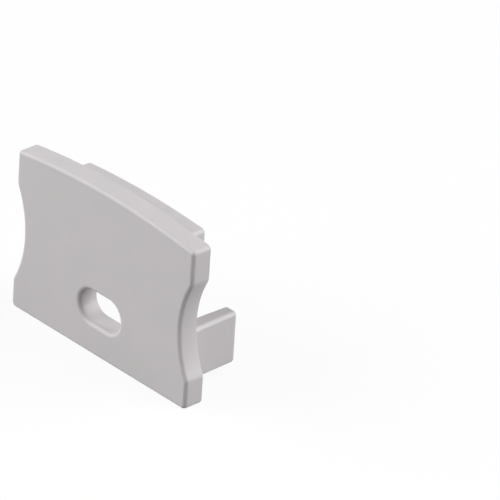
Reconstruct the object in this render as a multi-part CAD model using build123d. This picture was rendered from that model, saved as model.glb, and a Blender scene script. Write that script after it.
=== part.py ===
from build123d import *
from math import radians, tan
import os

# Snap-in end cap for the sawn end of an extruded lighting profile, moulded in one piece.
# X runs across the profile, and Z runs up from its base.
# The seat face lies at Y = 0 with the profile on its +Y side, and the outer face looks along -Y.

# The profile that the cap closes
PROFILE_WIDTH = 17.0
PROFILE_CORNER_HEIGHT = 11.55
PROFILE_CROWN_RISE = 0.6
FOOT_HEIGHT = 2.1
SHOULDER_HEIGHT = 2.45
HOLLOW_DEPTH = 0.9
WAIST_WALL = 0.65
CHANNEL_FLOOR = 0.65
COVER_WALL = 1.0
COVER_INSET = 2.75

# Room left between the cap and the profile
CHANNEL_CLEARANCE = 0.1
COVER_CLEARANCE = 0.1

# Plate
PLATE_THICKNESS = 1.52
BASE_CORNER_RADIUS = 0.25
FOOT_CORNER_RADIUS = 0.3
SHOULDER_RADIUS = 1.1
TOP_CORNER_RADIUS = 0.5
OUTER_EDGE_RADIUS = 0.27
SEAT_EDGE_RADIUS = 0.1

# Cable slot
SLOT_LENGTH = 4.0
SLOT_HEIGHT = 2.4
SLOT_CENTRE_HEIGHT = 3.41
SLOT_DRAFT = 0.5
SLOT_MOUTH_RADIUS = 0.25

# Legs that plug into the channel
LEG_LENGTH = 4.43
LEG_THICKNESS = 1.35
LEG_HEIGHT = 3.75
LEG_DRAFT = 1.7
LEG_EDGE_RADIUS = 0.3

# Rib that carries the cover, with a lug turned down at each end
RIB_DEPTH = 2.15
RIB_WEB = 0.5
RIB_HEIGHT = 2.15
LUG_THICKNESS = 0.65
RIB_CORNER_RADIUS = 0.35
RIB_INNER_RADIUS = 0.2
RIB_EDGE_RADIUS = 0.2

# Fillet where the legs and the rib leave the seat face
ROOT_RADIUS = 0.28

# Marks that the ejector pins leave in the seat face
EJECTOR_DIAMETER = 2.4
EJECTOR_DEPTH = 0.1
UPPER_EJECTOR_SPACING = 5.4
UPPER_EJECTOR_DROP = 1.25
LOWER_EJECTOR_LAND = 0.3
LOWER_EJECTOR_HEIGHT = 2.3

# Derived places
CROWN_TOP = PROFILE_CORNER_HEIGHT + PROFILE_CROWN_RISE
HOLLOW_HEIGHT = PROFILE_CORNER_HEIGHT - FOOT_HEIGHT - SHOULDER_HEIGHT
CHANNEL_WIDTH = PROFILE_WIDTH - 2 * (HOLLOW_DEPTH + WAIST_WALL)
RIB_WIDTH = PROFILE_WIDTH - 2 * (COVER_INSET + COVER_CLEARANCE)
RIB_DROP = COVER_WALL + COVER_CLEARANCE


def arc_radius(chord, rise):
    """Radius of an arc from its chord and its rise."""
    return (chord**2 / 4 + rise**2) / (2 * rise)


def column(width, bottom):
    """Tall blank that later cuts trim: it starts at the given height and ends above the crown."""
    return Pos(0, bottom) * Rectangle(width, 2 * CROWN_TOP, align=(Align.CENTER, Align.MIN))


def under_crown(drop):
    """Disc whose upper edge runs concentric with the profile's crown, the given distance below it."""
    radius = arc_radius(PROFILE_WIDTH, PROFILE_CROWN_RISE)
    return Pos(0, CROWN_TOP - radius) * Circle(radius - drop)


def round_corners(section, radii):
    """Section with its corners rounded level by level, the lowest corners by the first radius."""
    for level, radius in reversed(list(enumerate(radii))):
        corners = section.vertices().group_by(Axis.Y)[level]
        section = fillet(corners, radius)
    return section


def plate_section():
    """Outline of the profile: straight feet, hollow sides, straight shoulders and an arched top."""
    radius = arc_radius(HOLLOW_HEIGHT, HOLLOW_DEPTH)
    side = PROFILE_WIDTH / 2 - HOLLOW_DEPTH + radius
    hollow = Pos(side, FOOT_HEIGHT + HOLLOW_HEIGHT / 2) * Circle(radius)
    section = column(PROFILE_WIDTH, 0) & under_crown(0)
    section = section - hollow - mirror(hollow, Plane.YZ)
    return round_corners(
        section, [BASE_CORNER_RADIUS, FOOT_CORNER_RADIUS, SHOULDER_RADIUS, TOP_CORNER_RADIUS]
    )


def rib_section():
    """Arched web under the cover, with a lug turned down at each end."""
    outside = column(RIB_WIDTH, CROWN_TOP - RIB_DROP - RIB_HEIGHT) & under_crown(RIB_DROP)
    inside = column(RIB_WIDTH - 2 * LUG_THICKNESS, 0) & under_crown(RIB_DROP + RIB_WEB)
    return round_corners(outside - inside, [RIB_EDGE_RADIUS, RIB_INNER_RADIUS, RIB_CORNER_RADIUS])


def flat_face(solid, level):
    """Flat face across Y, counted from the outer face inwards."""
    return solid.faces().filter_by(Plane.XZ).group_by(Axis.Y)[level][0]


def plate():
    """Flat plate with a rounded rim, from the seat face out to the outer face."""
    blank = extrude(Plane.XZ * plate_section(), PLATE_THICKNESS)
    blank = blank.fillet(OUTER_EDGE_RADIUS, flat_face(blank, 0).edges())
    return blank.fillet(SEAT_EDGE_RADIUS, flat_face(blank, -1).edges())


def leg():
    """Leg that presses on one wall of the channel and thins towards its free end."""
    outer = CHANNEL_WIDTH / 2 - CHANNEL_CLEARANCE
    inner = outer - LEG_THICKNESS
    lean = LEG_LENGTH * tan(radians(LEG_DRAFT))
    corners = [(inner, 0), (outer, 0), (outer - lean, LEG_LENGTH), (inner + lean, LEG_LENGTH)]
    floor = Plane.XY.offset(CHANNEL_FLOOR + CHANNEL_CLEARANCE)
    blank = extrude(floor * make_face(Polyline(*corners, close=True)), LEG_HEIGHT)
    root = blank.faces().sort_by(Axis.Y)[0]
    return blank.fillet(LEG_EDGE_RADIUS, blank.edges() - root.edges())


def rib():
    """Arched rib, raised from the seat face and rounded at its free end."""
    blank = extrude(Plane.XZ * rib_section(), RIB_DEPTH, dir=(0, 1, 0))
    return blank.fillet(RIB_EDGE_RADIUS, blank.faces().sort_by(Axis.Y)[-1].edges())


def cable_slot():
    """Cutter for the cable slot: it narrows towards the seat face."""
    mouth = Plane.XZ.offset(PLATE_THICKNESS)
    section = Pos(0, SLOT_CENTRE_HEIGHT) * SlotOverall(SLOT_LENGTH, SLOT_HEIGHT)
    return extrude(mouth * section, PLATE_THICKNESS, dir=(0, 1, 0), taper=SLOT_DRAFT)


def ejector_places():
    """Centres of the ejector marks: two under the rib, and one on each side of the cable slot."""
    radius = EJECTOR_DIAMETER / 2
    upper = CROWN_TOP - RIB_DROP - RIB_WEB - UPPER_EJECTOR_DROP - radius
    lower_side = SLOT_LENGTH / 2 + LOWER_EJECTOR_LAND + radius
    upper_side = UPPER_EJECTOR_SPACING / 2
    return [
        (side * across, height)
        for across, height in ((upper_side, upper), (lower_side, LOWER_EJECTOR_HEIGHT))
        for side in (1, -1)
    ]


def ejector_marks():
    """Cutters for the shallow round marks in the seat face."""
    face = Plane.XZ.offset(EJECTOR_DEPTH)
    pin = Circle(EJECTOR_DIAMETER / 2)
    return [
        extrude(face * Pos(*place) * pin, EJECTOR_DEPTH, dir=(0, 1, 0)) for place in ejector_places()
    ]


def end_cap():
    """The whole cap, with its roots filleted and its openings cut."""
    legs = leg() + mirror(leg(), Plane.YZ)
    cap = plate() + legs + rib()
    roots = [edge for wire in flat_face(cap, 1).inner_wires() for edge in wire.edges()]
    cap = cap.fillet(ROOT_RADIUS, roots)
    cap = cap - cable_slot()
    cap = cap.fillet(SLOT_MOUTH_RADIUS, flat_face(cap, 0).inner_wires()[0].edges())
    return cap - ejector_marks()


os.makedirs("parts", exist_ok=True)
export_step(end_cap(), "parts/end_cap.step")
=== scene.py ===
import math

import bmesh
import bpy
from bpy.props import FloatProperty, FloatVectorProperty, PointerProperty
from mathutils import Matrix, Vector


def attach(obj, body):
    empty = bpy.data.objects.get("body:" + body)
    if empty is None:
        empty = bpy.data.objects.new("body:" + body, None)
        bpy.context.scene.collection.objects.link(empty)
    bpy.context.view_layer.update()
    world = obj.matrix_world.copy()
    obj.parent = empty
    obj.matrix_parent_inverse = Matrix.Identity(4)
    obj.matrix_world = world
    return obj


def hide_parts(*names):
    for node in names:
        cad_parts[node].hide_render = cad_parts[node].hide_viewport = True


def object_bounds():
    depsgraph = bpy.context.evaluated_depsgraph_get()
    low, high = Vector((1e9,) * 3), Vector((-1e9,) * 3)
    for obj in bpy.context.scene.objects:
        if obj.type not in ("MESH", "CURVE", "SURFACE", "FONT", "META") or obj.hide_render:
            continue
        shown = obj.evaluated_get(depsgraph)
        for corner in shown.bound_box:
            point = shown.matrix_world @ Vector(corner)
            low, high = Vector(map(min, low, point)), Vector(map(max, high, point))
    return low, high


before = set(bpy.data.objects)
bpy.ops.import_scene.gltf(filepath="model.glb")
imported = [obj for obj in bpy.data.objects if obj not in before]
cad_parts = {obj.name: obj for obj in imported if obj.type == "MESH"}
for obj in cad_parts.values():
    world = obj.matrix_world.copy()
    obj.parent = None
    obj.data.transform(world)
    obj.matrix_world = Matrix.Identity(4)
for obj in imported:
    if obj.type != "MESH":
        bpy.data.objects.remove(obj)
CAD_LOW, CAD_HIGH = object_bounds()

bl_info = {
    "name": "Profile End Cap",
    "version": (1, 0, 0),
    "blender": (4, 5, 0),
    "location": "3D View > Sidebar > End Cap",
    "description": "Models a moulded end cap for a lighting profile, paints its plastic and lights it",
    "category": "Add Mesh",
}

# The cap closes the end of an extruded profile. X runs across the profile and Z up from its base.
# The seat face that meets the profile is at Y = 0, and the outer face looks along -Y.
# Shapes are modelled in millimetres, one unit each, and the finished cap is brought to metres.

CAP_NODE = "end_cap"
MOULDING = "end_cap_moulding"
MILLIMETRE = 0.001
QUARTER = math.pi / 2

# In millimetres: how near a plane a point counts as in it, how close points are joined,
# and how deep the legs and the rib start inside the plate
NEAR = 0.002
WELD = 0.0005
SINK = 0.5

# Angle between two faces from which their edge counts as folded, and from which it is shaded as sharp
FOLD = math.radians(40)
SHARP = math.radians(50)

# Sides of the round pins that press the ejector marks
PIN_SIDES = 64

# Patterns of the plastic: the part of the noise's range that is the edge of a cloud, how many times
# in a metre the tool marks change along X, Y and Z, and between which distances from the seat they grow
CLOUD_EDGE = (0.35, 0.65)
STREAK_CHANGES = (160.0, 5200.0, 260.0)
STREAK_START = (0.4 * MILLIMETRE, 0.9 * MILLIMETRE)

# Stage, in metres: the floor's side, how near and how far the camera sees,
# and between which distances the floor's glow rises, so that no horizon shows
FLOOR_SIDE = 4.0
SIGHT = (0.05, 5.0)
GLOW_REACH = (0.1, 0.35)

# Share of glow in the floor that the camera sees, near and far, and the floor's grey for other light
GLOW_SHARE = (0.9, 1.0)
BOUNCE = 0.22


def length(name, description, default, least=0.0):
    """A size in metres, shown in the user's own units and given here in millimetres."""
    return FloatProperty(
        name=name, description=description, default=default * MILLIMETRE, min=least * MILLIMETRE,
        precision=5, subtype="DISTANCE", unit="LENGTH",
    )


def angle(name, description, degrees):
    """An angle, given here in degrees."""
    return FloatProperty(
        name=name, description=description, default=math.radians(degrees),
        subtype="ANGLE", unit="ROTATION",
    )


def share(name, description, default):
    """A share from 0 to 1."""
    return FloatProperty(
        name=name, description=description, default=default, min=0.0, max=1.0, subtype="FACTOR",
    )


def number(name, description, default):
    """A number that has no unit and isn't negative."""
    return FloatProperty(name=name, description=description, default=default, min=0.0)


def tint(name, description, default):
    """A colour."""
    return FloatVectorProperty(
        name=name, description=description, default=default, min=0.0, max=1.0, subtype="COLOR",
    )


class PlateSizes(bpy.types.PropertyGroup):
    """Sizes of the plate that covers the profile's end."""

    width: length("Width", "Width over the feet and shoulders", (CAD_HIGH.x - CAD_LOW.x) / MILLIMETRE)
    height: length("Height", "Height from the base to the crown", (CAD_HIGH.z - CAD_LOW.z) / MILLIMETRE)
    crown_rise: length("Crown Rise", "How far the crown stands above the top corners", 0.6)
    foot_height: length("Foot Height", "Height of the straight feet", 2.1)
    shoulder_height: length("Shoulder Height", "Straight height below the top corners", 2.45)
    hollow_depth: length("Hollow Depth", "How far the sides curve inwards at the waist", 0.9)
    thickness: length("Thickness", "Thickness from the seat to the outer face", 1.52)
    base_radius: length("Base Radius", "Radius of the corners at the base", 0.38)
    foot_radius: length("Foot Radius", "Radius where a foot meets its hollow", 0.6)
    shoulder_radius: length("Shoulder Radius", "Radius where a hollow meets its shoulder", 1.1)
    top_radius: length("Top Radius", "Radius of the top corners", 0.32)
    outer_edge: length("Outer Edge", "Rounding of the rim at the outer face", 0.27)
    seat_edge: length("Seat Edge", "Rounding of the rim at the seat", 0.1)


class LegSizes(bpy.types.PropertyGroup):
    """Sizes of the legs that plug into the profile's channel."""

    over_legs: length("Over Legs", "Width over the outer faces of the legs at their roots", 13.7)
    thickness: length("Thickness", "Thickness of a leg at its root", 1.35)
    height: length("Height", "Height of a leg", 3.79)
    bottom: length("Bottom", "Height of a leg's lower face above the base", 0.71)
    reach: length("Reach", "Length of a leg from the seat", 4.43)
    edge: length("Edge", "Rounding of a leg's edges", 0.3)
    draft: angle("Draft", "How much each side leans in towards the free end", 1.7)


class RibSizes(bpy.types.PropertyGroup):
    """Sizes of the arched rib that carries the profile's cover."""

    width: length("Width", "Width over the lugs", 11.3)
    drop: length("Drop", "Distance of the rib's top below the crown", 1.1)
    rise: length("Rise", "How far the middle of the arch stands above its ends", 0.25)
    web: length("Web", "Thickness of the arched web", 0.5)
    height: length("Height", "Height from the lugs' lower ends to the top of the arch", 2.15)
    lug: length("Lug", "Thickness of the lug at each end", 0.65)
    reach: length("Reach", "Depth of the rib from the seat", 2.15)
    corner: length("Corner", "Radius of the two upper corners", 0.3)
    inner: length("Inner Corner", "Radius inside each lug", 0.32)
    foot: length("Lug Foot", "Radius at the lower end of a lug", 0.24)
    edge: length("Edge", "Rounding of the free end's edges", 0.18)


class SlotSizes(bpy.types.PropertyGroup):
    """Sizes of the slot that the lead leaves by. Length and height are those before its mouth is rounded."""

    across: length("Length", "Length of the slot at the outer face", 3.9)
    high: length("Height", "Height of the slot at the outer face", 2.34)
    centre: length("Centre", "Height of the slot's centre above the base", 3.41)
    mouth: length("Mouth", "Rounding of the slot's mouth", 0.3)
    exit_edge: length("Exit Edge", "Rounding of the slot's edge in the seat face", 0.05)
    draft: angle("Draft", "How much the slot narrows towards the seat on each side", 0.5)


class SeatSizes(bpy.types.PropertyGroup):
    """Sizes of the fillets and of the ejector marks in the seat face."""

    root: length("Root Fillet", "Fillet where the legs and the rib leave the seat face", 0.28)
    pin_radius: length("Pin Radius", "Radius of an ejector mark", 1.2)
    pin_depth: length("Pin Depth", "Depth of an ejector mark", 0.1)
    pin_edge: length("Pin Edge", "Rounding of an ejector mark's rim", 0.03)
    upper_pin: length("Upper Pin", "Distance of an upper mark from the middle", 2.7)
    upper_height: length("Upper Height", "Height of the upper marks", 8.1)
    lower_pin: length("Lower Pin", "Distance of a lower mark from the middle", 3.5)
    lower_height: length("Lower Height", "Height of the lower marks", 2.3)


class PlasticLook(bpy.types.PropertyGroup):
    """Colours and texture of the moulded plastic."""

    colour: tint("Colour", "Colour of the plastic", (0.605, 0.576, 0.586))
    cloud: tint("Cloud Colour", "Colour in the faint clouds of the melt", (0.590, 0.565, 0.570))
    cloud_size: length("Cloud Size", "Size of the faint clouds in the melt", 3.2)
    roughness: share("Roughness", "Mean roughness of the surface", 0.38)
    grain_swing: share("Grain Swing", "How far the grain moves the roughness", 0.16)
    cloud_swing: share("Cloud Swing", "How far the clouds move the roughness", 0.06)
    gloss: share("Gloss", "Specular level of the surface", 0.38)
    index: number("Index", "Index of refraction of the plastic", 1.5)
    grain: length("Grain", "Size of a grain of the matt texture", 0.16)
    grain_height: length("Grain Height", "Height of the matt texture", 0.0016)
    streak_height: length("Streak Height", "Height of the tool marks on the legs", 0.003)


class StageLook(bpy.types.PropertyGroup):
    """Camera, floor and lights."""

    azimuth: angle("Azimuth", "Turn of the camera round the cap", 45.7946)
    elevation: angle("Elevation", "Angle of the camera above the floor", 29.0702)
    roll: angle("Roll", "Lean of the camera", 3.7366)
    distance: length("Distance", "Distance from the cap to the camera", 436.424)
    aside: length("Aside", "Place of the base right of the picture's middle", -8.7932, least=-100.0)
    aloft: length("Aloft", "Place of the base above the picture's middle", -6.5077, least=-100.0)
    focal_length: number("Focal Length", "Focal length of the lens in millimetres", 485.5)
    floor_colour: tint("Floor Colour", "Colour of the floor", (0.95, 0.95, 0.95))
    ambient: share("Ambient", "Level of the light from all round", 0.0)
    light_distance: length("Light Distance", "Distance from the cap to each softbox", 380.0)
    left_level: number("Left Light", "Level of the softbox on the left", 1.45)
    left_size: length("Left Size", "Side of the softbox on the left", 430.0)
    left_turn: angle("Left Turn", "Turn of the left softbox round the cap", -38.0)
    left_rise: angle("Left Rise", "Angle of the left softbox above the floor", 26.0)
    right_level: number("Right Light", "Level of the softbox behind, on the right", 1.43)
    right_size: length("Right Size", "Side of the softbox behind, on the right", 440.0)
    right_turn: angle("Right Turn", "Turn of the right softbox round the cap", 130.0)
    right_rise: angle("Right Rise", "Angle of the right softbox above the floor", 33.0)


# Work in edit mode


def in_mm(size):
    """A property's metres as millimetres."""
    return size / MILLIMETRE


def select_only(piece=None):
    """Leaves edit mode and selects one piece alone, or nothing."""
    if bpy.context.mode != "OBJECT":
        bpy.ops.object.mode_set(mode="OBJECT")
    bpy.ops.object.select_all(action="DESELECT")
    if piece:
        piece.select_set(True)
        bpy.context.view_layer.objects.active = piece


def begin_edit(piece):
    """Makes a piece the only selected one and enters edit mode."""
    select_only(piece)
    bpy.ops.object.mode_set(mode="EDIT")


def end_edit():
    """Leaves edit mode."""
    bpy.ops.object.mode_set(mode="OBJECT")


def pick(piece, kind, accepted):
    """Selects, in edit mode, only the vertices, edges or faces that a test accepts."""
    bpy.ops.mesh.select_mode(type=kind)
    bpy.ops.mesh.select_all(action="DESELECT")
    mesh = bmesh.from_edit_mesh(piece.data)
    items = {"VERT": mesh.verts, "EDGE": mesh.edges, "FACE": mesh.faces}[kind]
    chosen = [item for item in items if accepted(item)]
    if not chosen:
        raise RuntimeError(f"nothing on {piece.name} fits the selection")
    for item in chosen:
        item.select_set(True)
    bmesh.update_edit_mesh(piece.data)


def lies_at(item, y):
    """True where an edge or a face lies in the plane at a given Y."""
    return all(abs(v.co.y - y) < NEAR for v in item.verts)


def folded(edge):
    """True where an edge joins two faces at a marked angle."""
    return len(edge.link_faces) == 2 and edge.calc_face_angle(0.0) > FOLD


def pick_creases(piece, y):
    """Selects the folded edges in the plane at a given Y."""
    pick(piece, "EDGE", lambda edge: lies_at(edge, y) and folded(edge))


def round_edges(radius, segments):
    """Rounds the selected edges."""
    bpy.ops.mesh.bevel(
        offset=radius, offset_type="OFFSET", segments=segments, profile=0.5, affect="EDGES",
        clamp_overlap=False, loop_slide=False,
    )


def weld():
    """Joins vertices that fall together and drops edges and faces that have no size."""
    bpy.ops.mesh.select_mode(type="VERT")
    bpy.ops.mesh.select_all(action="SELECT")
    bpy.ops.mesh.remove_doubles(threshold=WELD)
    bpy.ops.mesh.dissolve_degenerate(threshold=WELD)


def apply_modifier(piece, kind, **settings):
    """Adds a modifier to a piece and applies it."""
    select_only(piece)
    bpy.ops.object.modifier_add(type=kind)
    modifier = piece.modifiers[-1]
    for key, value in settings.items():
        setattr(modifier, key, value)
    bpy.ops.object.modifier_apply(modifier=modifier.name)


def combine(piece, other, operation):
    """Adds another solid to a piece, or cuts it away, and removes the other."""
    apply_modifier(piece, "BOOLEAN", operation=operation, object=other, solver="EXACT")
    mesh = other.data
    bpy.data.objects.remove(other)
    bpy.data.meshes.remove(mesh)
    begin_edit(piece)
    weld()
    end_edit()


# A pen that draws one half of a section in the XZ plane


class Pen:
    """Draws the right half of a section, as lines and arcs that start and end in the middle plane."""

    def __init__(self, name, x, z):
        select_only()
        bpy.ops.mesh.primitive_plane_add(size=1.0)
        self.piece = bpy.context.active_object
        self.piece.name = name
        self.place = Vector((x, z))
        bpy.ops.object.mode_set(mode="EDIT")
        bpy.ops.mesh.select_all(action="SELECT")
        bpy.ops.mesh.merge(type="CENTER")
        bpy.ops.transform.translate(value=(x, 0.0, z))

    def line(self, x, z):
        """Draws a straight line to a point."""
        step = Vector((x, z)) - self.place
        bpy.ops.mesh.extrude_region_move(TRANSFORM_OT_translate={"value": (step.x, 0.0, step.y)})
        self.place = Vector((x, z))

    def arc(self, x, z, turn, segments):
        """Draws an arc about a centre. A positive turn runs anticlockwise as seen from the outer face."""
        bpy.ops.mesh.spin(steps=segments, angle=turn, center=(x, 0.0, z), axis=(0.0, 1.0, 0.0))
        arm = self.place - Vector((x, z))
        self.place = Vector((x, z)) + Matrix.Rotation(turn, 2) @ arm

    def solid(self, start, end):
        """Mirrors the half section, fills it and draws it out between two levels of Y."""
        end_edit()
        apply_modifier(self.piece, "MIRROR", use_axis=(True, False, False), merge_threshold=WELD)
        begin_edit(self.piece)
        weld()
        bpy.ops.mesh.select_all(action="SELECT")
        bpy.ops.mesh.edge_face_add()
        bpy.ops.transform.translate(value=(0.0, start, 0.0))
        bpy.ops.mesh.extrude_region_move(TRANSFORM_OT_translate={"value": (0.0, end - start, 0.0)})
        bpy.ops.mesh.select_all(action="SELECT")
        bpy.ops.mesh.normals_make_consistent(inside=False)
        end_edit()
        return self.piece


def arc_radius(chord, rise):
    """Radius of an arc from its chord and its rise."""
    return (chord**2 / 4 + rise**2) / (2 * rise)


class Crown:
    """The arc over the plate or over the rib, and the corners that meet it."""

    def __init__(self, width, rise, top):
        self.radius = arc_radius(in_mm(width), in_mm(rise))
        self.centre = in_mm(top) - self.radius

    def corner(self, side, drop, radius):
        """Height of a corner's centre between arc and upright side, and the angle where the two meet."""
        reach = self.radius - drop - radius
        rise = math.sqrt(reach**2 - (side - radius) ** 2)
        return self.centre + rise, math.atan2(rise, side - radius)


def draw_plate(plate):
    """Right half of the plate: base, foot, hollow, shoulder and crown."""
    crown = Crown(plate.width, plate.crown_rise, plate.height)
    side = in_mm(plate.width) / 2
    base, foot = in_mm(plate.base_radius), in_mm(plate.foot_radius)
    shoulder, top = in_mm(plate.shoulder_radius), in_mm(plate.top_radius)
    hollow = in_mm(plate.height - plate.crown_rise - plate.foot_height - plate.shoulder_height)
    bend = arc_radius(hollow, in_mm(plate.hollow_depth))
    bend_x = side - in_mm(plate.hollow_depth) + bend
    bend_z = in_mm(plate.foot_height) + hollow / 2

    def blend(radius):
        """Distance in height from the hollow's middle to a corner's centre, and the corner's angle."""
        aside = bend_x - side + radius
        rise = math.sqrt((bend + radius) ** 2 - aside**2)
        return rise, math.atan2(rise, aside)

    foot_rise, foot_turn = blend(foot)
    shoulder_rise, shoulder_turn = blend(shoulder)
    top_z, top_turn = crown.corner(side, 0.0, top)
    pen = Pen(MOULDING, 0.0, 0.0)
    pen.line(side - base, 0.0)
    pen.arc(side - base, base, QUARTER, segments=8)
    pen.line(side, bend_z - foot_rise)
    pen.arc(side - foot, bend_z - foot_rise, foot_turn, segments=4)
    pen.arc(bend_x, bend_z, -(foot_turn + shoulder_turn), segments=28)
    pen.arc(side - shoulder, bend_z + shoulder_rise, shoulder_turn, segments=8)
    pen.line(side, top_z)
    pen.arc(side - top, top_z, top_turn, segments=10)
    pen.arc(0.0, crown.centre, QUARTER - top_turn, segments=24)
    return pen


def draw_rib(rib, top):
    """Right half of the rib: inside of the web, lug and outside."""
    crown = Crown(rib.width, rib.rise, top)
    outer = in_mm(rib.width) / 2
    inner = outer - in_mm(rib.lug)
    corner, hollow, foot = in_mm(rib.corner), in_mm(rib.inner), in_mm(rib.foot)
    web, bottom = in_mm(rib.web), in_mm(top - rib.height)
    hollow_z, hollow_turn = crown.corner(inner, web, hollow)
    corner_z, corner_turn = crown.corner(outer, 0.0, corner)
    pen = Pen("rib", 0.0, in_mm(top) - web)
    pen.arc(0.0, crown.centre, hollow_turn - QUARTER, segments=18)
    pen.arc(inner - hollow, hollow_z, -hollow_turn, segments=8)
    pen.line(inner, bottom + foot)
    pen.arc(inner + foot, bottom + foot, QUARTER, segments=7)
    pen.line(outer - foot, bottom)
    pen.arc(outer - foot, bottom + foot, QUARTER, segments=7)
    pen.line(outer, corner_z)
    pen.arc(outer - corner, corner_z, corner_turn, segments=10)
    pen.arc(0.0, crown.centre, QUARTER - corner_turn, segments=20)
    return pen


def draw_slot(slot, depth):
    """Cutter for the slot, wider at the outer face than at the seat."""
    end, half = in_mm(slot.across) / 2, in_mm(slot.high) / 2
    middle = in_mm(slot.centre)
    pen = Pen("slot_cutter", 0.0, middle - half)
    pen.line(end - half, middle - half)
    pen.arc(end - half, middle, math.pi, segments=28)
    pen.line(0.0, middle + half)
    cutter = pen.solid(-depth, 0.0)
    lean = math.tan(slot.draft) * depth
    begin_edit(cutter)
    pick(cutter, "FACE", lambda face: lies_at(face, 0.0))
    bpy.ops.transform.resize(
        value=(1 - lean / end, 1.0, 1 - lean / half), center_override=(0.0, 0.0, middle)
    )
    end_edit()
    return cutter


def model_leg(legs):
    """The right leg, sunk a little into the plate and thinner towards its free end."""
    thick, high, reach = in_mm(legs.thickness), in_mm(legs.height), in_mm(legs.reach)
    middle = in_mm(legs.over_legs) / 2 - thick / 2
    place = (middle, (reach - SINK) / 2, in_mm(legs.bottom) + high / 2)
    select_only()
    bpy.ops.mesh.primitive_cube_add(size=1.0, location=place)
    leg = bpy.context.active_object
    leg.name = "leg"
    leg.scale = (thick, reach + SINK, high)
    bpy.ops.object.transform_apply(location=True, rotation=True, scale=True)
    begin_edit(leg)
    for end in (-SINK, reach):
        lean = math.tan(legs.draft) * end
        pick(leg, "FACE", lambda face: lies_at(face, end))
        bpy.ops.transform.resize(
            value=(1 - 2 * lean / thick, 1.0, 1.0), center_override=(middle, end, 0.0)
        )
    pick(leg, "EDGE", lambda edge: not lies_at(edge, -SINK))
    round_edges(in_mm(legs.edge), segments=6)
    end_edit()
    return leg


# Operators for the forms of the moulding


class ENDCAP_OT_plate(bpy.types.Operator):
    """Draws the profile's outline, gives it its thickness and rounds its rim"""

    bl_idname = "endcap.plate"
    bl_label = "Model the Plate"

    def execute(self, context):
        plate = context.scene.cap_plate
        thickness = in_mm(plate.thickness)
        piece = draw_plate(plate).solid(-thickness, 0.0)
        begin_edit(piece)
        pick(piece, "EDGE", lambda edge: lies_at(edge, -thickness))
        round_edges(in_mm(plate.outer_edge), segments=7)
        pick(piece, "EDGE", lambda edge: lies_at(edge, 0.0))
        round_edges(in_mm(plate.seat_edge), segments=5)
        end_edit()
        return {"FINISHED"}


class ENDCAP_OT_legs(bpy.types.Operator):
    """Models one leg, mirrors it to the other side and joins both to the plate"""

    bl_idname = "endcap.legs"
    bl_label = "Model the Legs"

    def execute(self, context):
        leg = model_leg(context.scene.cap_legs)
        apply_modifier(leg, "MIRROR", use_axis=(True, False, False))
        combine(bpy.data.objects[MOULDING], leg, "UNION")
        return {"FINISHED"}


class ENDCAP_OT_rib(bpy.types.Operator):
    """Draws the arched rib with its turned-down lugs and joins it to the plate"""

    bl_idname = "endcap.rib"
    bl_label = "Model the Rib"

    def execute(self, context):
        plate, rib = context.scene.cap_plate, context.scene.cap_rib
        reach = in_mm(rib.reach)
        made = draw_rib(rib, plate.height - rib.drop).solid(-SINK, reach)
        begin_edit(made)
        pick(made, "EDGE", lambda edge: lies_at(edge, reach))
        round_edges(in_mm(rib.edge), segments=6)
        end_edit()
        combine(bpy.data.objects[MOULDING], made, "UNION")
        return {"FINISHED"}


class ENDCAP_OT_roots(bpy.types.Operator):
    """Fillets the roots where the legs and the rib leave the seat face"""

    bl_idname = "endcap.roots"
    bl_label = "Fillet the Roots"

    def execute(self, context):
        piece = bpy.data.objects[MOULDING]
        begin_edit(piece)
        pick_creases(piece, 0.0)
        round_edges(in_mm(context.scene.cap_seat.root), segments=6)
        weld()
        end_edit()
        return {"FINISHED"}


class ENDCAP_OT_slot(bpy.types.Operator):
    """Cuts the slot for the lead and rounds its mouth"""

    bl_idname = "endcap.slot"
    bl_label = "Cut the Slot"

    def execute(self, context):
        slot = context.scene.cap_slot
        thickness = in_mm(context.scene.cap_plate.thickness)
        piece = bpy.data.objects[MOULDING]
        combine(piece, draw_slot(slot, thickness), "DIFFERENCE")
        begin_edit(piece)
        pick_creases(piece, -thickness)
        round_edges(in_mm(slot.mouth), segments=7)
        pick_creases(piece, 0.0)
        round_edges(in_mm(slot.exit_edge), segments=3)
        weld()
        end_edit()
        return {"FINISHED"}


class ENDCAP_OT_marks(bpy.types.Operator):
    """Presses the round marks of the ejector pins into the seat face"""

    bl_idname = "endcap.marks"
    bl_label = "Press the Ejector Marks"

    def execute(self, context):
        seat = context.scene.cap_seat
        piece = bpy.data.objects[MOULDING]
        rows = ((seat.upper_pin, seat.upper_height), (seat.lower_pin, seat.lower_height))
        for aside, height in rows:
            select_only()
            bpy.ops.mesh.primitive_cylinder_add(
                vertices=PIN_SIDES, radius=in_mm(seat.pin_radius), depth=2 * in_mm(seat.pin_depth),
                location=(in_mm(aside), 0.0, in_mm(height)), rotation=(QUARTER, 0.0, 0.0),
            )
            pin = bpy.context.active_object
            bpy.ops.object.transform_apply(location=True, rotation=True, scale=True)
            apply_modifier(pin, "MIRROR", use_axis=(True, False, False))
            combine(piece, pin, "DIFFERENCE")
        begin_edit(piece)
        pick_creases(piece, 0.0)
        round_edges(in_mm(seat.pin_edge), segments=2)
        end_edit()
        return {"FINISHED"}


# Shader maths


class Wire:
    """A socket's output that adds, subtracts and multiplies as a number does."""

    def __init__(self, graph, socket):
        self.graph = graph
        self.socket = socket

    def _math(self, operation, first, second):
        return self.graph.node("ShaderNodeMath", {"operation": operation}, {0: first, 1: second})

    def __add__(self, other):
        return self._math("ADD", self, other)

    def __radd__(self, other):
        return self._math("ADD", other, self)

    def __sub__(self, other):
        return self._math("SUBTRACT", self, other)

    def __rsub__(self, other):
        return self._math("SUBTRACT", other, self)

    def __mul__(self, other):
        return self._math("MULTIPLY", self, other)

    def __rmul__(self, other):
        return self._math("MULTIPLY", other, self)


def grey(value):
    """An even grey as a socket takes it, with its alpha."""
    return (value, value, value, 1.0)


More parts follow.
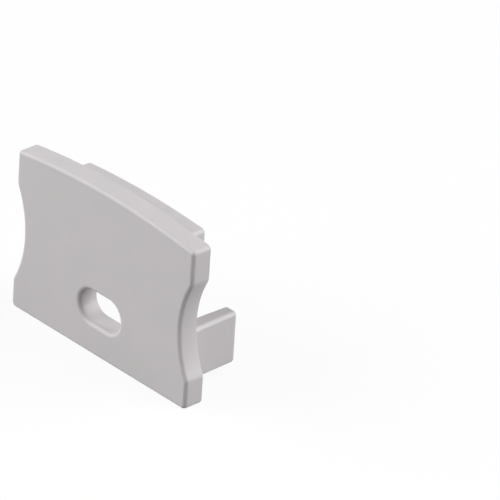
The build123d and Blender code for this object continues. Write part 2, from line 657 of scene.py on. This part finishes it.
class Graph:
    """The node tree of a material or of the world."""

    def __init__(self, owner):
        owner.use_nodes = True
        self.tree = owner.node_tree
        self.tree.nodes.clear()

    def node(self, kind, settings=None, sockets=None, output=0):
        """Adds a node with its settings and its sockets' values or links, and returns one output."""
        made = self.tree.nodes.new(kind)
        for key, value in (settings or {}).items():
            setattr(made, key, value)
        for key, value in (sockets or {}).items():
            if isinstance(value, Wire):
                self.tree.links.new(value.socket, made.inputs[key])
            else:
                made.inputs[key].default_value = value
        return Wire(self, made.outputs[output]) if made.outputs else None

    def noise(self, place, size, detail):
        """Noise from 0 to 1 over a place, with features of a size in metres."""
        return self.node(
            "ShaderNodeTexNoise", {"noise_dimensions": "3D"},
            {"Vector": place, "Scale": 1.0 / size, "Detail": detail, "Roughness": 0.55},
        )

    def remap(self, value, source, target=(0.0, 1.0)):
        """A value moved from one range to another and kept inside it."""
        return self.node(
            "ShaderNodeMapRange", {"clamp": True, "interpolation_type": "SMOOTHSTEP"},
            {
                "Value": value, "From Min": source[0], "From Max": source[1],
                "To Min": target[0], "To Max": target[1],
            },
        )

    def mix(self, factor, first, second):
        """Two colours mixed by a factor."""
        return self.node(
            "ShaderNodeMix", {"data_type": "RGBA"}, {"Factor": factor, "A": first, "B": second},
            output="Result",
        )

    def seen(self):
        """1 for rays from the camera, from a reflection or through glass."""
        camera, glossy, clear = (
            self.node("ShaderNodeLightPath", output=f"Is {ray} Ray")
            for ray in ("Camera", "Glossy", "Transmission")
        )
        return self.remap(camera + glossy + clear, (0.0, 1.0))


def moulded_plastic(look):
    """Light grey plastic with a fine matt texture, faint clouds and faint tool marks on the legs."""
    material = bpy.data.materials.new("moulded_plastic")
    graph = Graph(material)
    place = graph.node("ShaderNodeTexCoord", output="Object")
    clouds = graph.remap(graph.noise(place, look.cloud_size, detail=3.0), CLOUD_EDGE)
    colour = graph.mix(clouds, (*look.colour, 1.0), (*look.cloud, 1.0))
    grain = graph.noise(place, look.grain, detail=2.0)
    flow = graph.node("ShaderNodeMapping", sockets={"Vector": place, "Scale": STREAK_CHANGES})
    streaks = graph.noise(flow, 1.0, detail=1.0)
    from_seat = graph.node("ShaderNodeSeparateXYZ", sockets={"Vector": place}, output="Y")
    on_legs = graph.remap(from_seat, STREAK_START)
    fine = graph.node(
        "ShaderNodeBump", sockets={"Height": grain, "Strength": 1.0, "Distance": look.grain_height},
    )
    bump = graph.node("ShaderNodeBump", sockets={
        "Height": streaks * on_legs, "Strength": 1.0, "Distance": look.streak_height, "Normal": fine,
    })
    rough = look.roughness + (grain - 0.5) * look.grain_swing + (clouds - 0.5) * look.cloud_swing
    shader = graph.node("ShaderNodeBsdfPrincipled", sockets={
        "Base Color": colour, "Roughness": rough, "Normal": bump,
        "IOR": look.index, "Specular IOR Level": look.gloss,
    })
    graph.node("ShaderNodeOutputMaterial", sockets={"Surface": shader})
    return material


class ENDCAP_OT_finish(bpy.types.Operator):
    """Brings the moulding to metres, smooths its shading, paints it and sets it in the frame"""

    bl_idname = "endcap.finish"
    bl_label = "Finish the Moulding"

    def execute(self, context):
        piece = bpy.data.objects[MOULDING]
        select_only(piece)
        piece.scale = (MILLIMETRE, MILLIMETRE, MILLIMETRE)
        bpy.ops.object.transform_apply(location=True, rotation=True, scale=True)
        bpy.ops.object.shade_smooth_by_angle(angle=SHARP)
        apply_modifier(piece, "WEIGHTED_NORMAL", keep_sharp=True, weight=100)
        material = moulded_plastic(context.scene.cap_plastic)
        for painted in (piece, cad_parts[CAP_NODE]):
            painted.data.materials.clear()
            painted.data.materials.append(material)
        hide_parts(CAP_NODE)
        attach(piece, "root")
        return {"FINISHED"}


# Stage


def heading(azimuth, elevation):
    """Direction away from the cap: azimuth 0 is in front of the outer face and 90 degrees on its right."""
    along = math.cos(elevation)
    return Vector((math.sin(azimuth) * along, -math.cos(azimuth) * along, math.sin(elevation)))


def add_softbox(name, direction, distance, size, level):
    """A square light that faces the cap from a direction."""
    bpy.ops.object.light_add(type="AREA")
    lamp = bpy.context.active_object
    lamp.name = name
    lamp.data.shape = "SQUARE"
    lamp.data.size = size
    # At a level of 1, a small light would show a surface that faces it in the surface's own colour
    lamp.data.energy = level * (math.pi * distance) ** 2
    lamp.location = direction * distance + (CAD_LOW + CAD_HIGH) / 2
    lamp.rotation_mode = "QUATERNION"
    lamp.rotation_quaternion = (-direction).to_track_quat("-Z", "Y")


def pale_floor(look):
    """Floor that shows pale, keeps the cap's shadow and throws little light back up."""
    material = bpy.data.materials.new("pale_floor")
    graph = Graph(material)
    shown = graph.node("ShaderNodeBsdfDiffuse", sockets={"Color": (*look.floor_colour, 1.0)})
    bounced = graph.node("ShaderNodeBsdfDiffuse", sockets={"Color": grey(BOUNCE)})
    glow = graph.node("ShaderNodeEmission", sockets={"Color": grey(1.0), "Strength": 1.0})
    place = graph.node("ShaderNodeTexCoord", output="Object")
    away = graph.node("ShaderNodeVectorMath", {"operation": "LENGTH"}, {0: place}, output="Value")
    glowing = graph.remap(away, GLOW_REACH, GLOW_SHARE)
    lit = graph.node("ShaderNodeMixShader", sockets={0: glowing, 1: shown, 2: glow})
    both = graph.node("ShaderNodeMixShader", sockets={0: graph.seen(), 1: bounced, 2: lit})
    graph.node("ShaderNodeOutputMaterial", sockets={"Surface": both})
    return material


def add_floor(look):
    """The floor under the cap."""
    bpy.ops.mesh.primitive_plane_add(size=FLOOR_SIDE)
    floor = bpy.context.active_object
    floor.name = "floor"
    floor.data.materials.append(pale_floor(look))


def studio_world(look):
    """Even light from all round, with white behind the cap."""
    world = bpy.data.worlds.new("studio")
    graph = Graph(world)
    colour = graph.mix(graph.seen(), grey(look.ambient), grey(1.0))
    shader = graph.node("ShaderNodeBackground", sockets={"Color": colour, "Strength": 1.0})
    graph.node("ShaderNodeOutputWorld", sockets={"Surface": shader})
    return world


def add_camera(look):
    """Camera that looks at the cap, with the middle of the cap's base a little off the picture's middle."""
    turn, lean = look.azimuth, look.roll
    back = heading(turn, look.elevation)
    level_right = Vector((math.cos(turn), math.sin(turn), 0.0))
    level_up = back.cross(level_right)
    right = level_right * math.cos(lean) + level_up * math.sin(lean)
    up = level_up * math.cos(lean) - level_right * math.sin(lean)
    place = back * look.distance - right * look.aside - up * look.aloft
    bpy.ops.object.camera_add()
    camera = bpy.context.active_object
    camera.name = "camera"
    camera.matrix_world = Matrix((
        (right.x, up.x, back.x, place.x),
        (right.y, up.y, back.y, place.y),
        (right.z, up.z, back.z, place.z),
        (0.0, 0.0, 0.0, 1.0),
    ))
    camera.data.lens = look.focal_length
    camera.data.clip_start, camera.data.clip_end = SIGHT
    bpy.context.scene.camera = camera


class ENDCAP_OT_stage(bpy.types.Operator):
    """Sets the camera, the floor, the lights and the world"""

    bl_idname = "endcap.stage"
    bl_label = "Set the Stage"

    def execute(self, context):
        look = context.scene.cap_stage
        select_only()
        add_camera(look)
        add_floor(look)
        left, right = heading(look.left_turn, look.left_rise), heading(look.right_turn, look.right_rise)
        add_softbox("softbox_left", left, look.light_distance, look.left_size, look.left_level)
        add_softbox("softbox_right", right, look.light_distance, look.right_size, look.right_level)
        context.scene.world = studio_world(look)
        context.scene.view_settings.view_transform = "Standard"
        return {"FINISHED"}


STEPS = (
    ENDCAP_OT_plate,
    ENDCAP_OT_legs,
    ENDCAP_OT_rib,
    ENDCAP_OT_roots,
    ENDCAP_OT_slot,
    ENDCAP_OT_marks,
    ENDCAP_OT_finish,
    ENDCAP_OT_stage,
)

GROUPS = {
    "cap_plate": PlateSizes,
    "cap_legs": LegSizes,
    "cap_rib": RibSizes,
    "cap_slot": SlotSizes,
    "cap_seat": SeatSizes,
    "cap_plastic": PlasticLook,
    "cap_stage": StageLook,
}


class ENDCAP_PT_panel(bpy.types.Panel):
    """Lists the steps that make the end cap, and the values that they read"""

    bl_idname = "ENDCAP_PT_panel"
    bl_label = "Profile End Cap"
    bl_space_type = "VIEW_3D"
    bl_region_type = "UI"
    bl_category = "End Cap"

    def draw(self, context):
        for step in STEPS:
            self.layout.operator(step.bl_idname)
        for group in GROUPS:
            sizes = getattr(context.scene, group)
            box = self.layout.box()
            for key in sizes.__annotations__:
                box.prop(sizes, key)


def register():
    for group, kind in GROUPS.items():
        bpy.utils.register_class(kind)
        setattr(bpy.types.Scene, group, PointerProperty(type=kind))
    for kind in (*STEPS, ENDCAP_PT_panel):
        bpy.utils.register_class(kind)


def unregister():
    for kind in (ENDCAP_PT_panel, *reversed(STEPS)):
        bpy.utils.unregister_class(kind)
    for group, kind in GROUPS.items():
        delattr(bpy.types.Scene, group)
        bpy.utils.unregister_class(kind)


def main():
    """Makes the cap and its stage."""
    register()
    select_only()
    for step in STEPS:
        package, name = step.bl_idname.split(".")
        getattr(getattr(bpy.ops, package), name)()


if __name__ == "__main__":
    main()
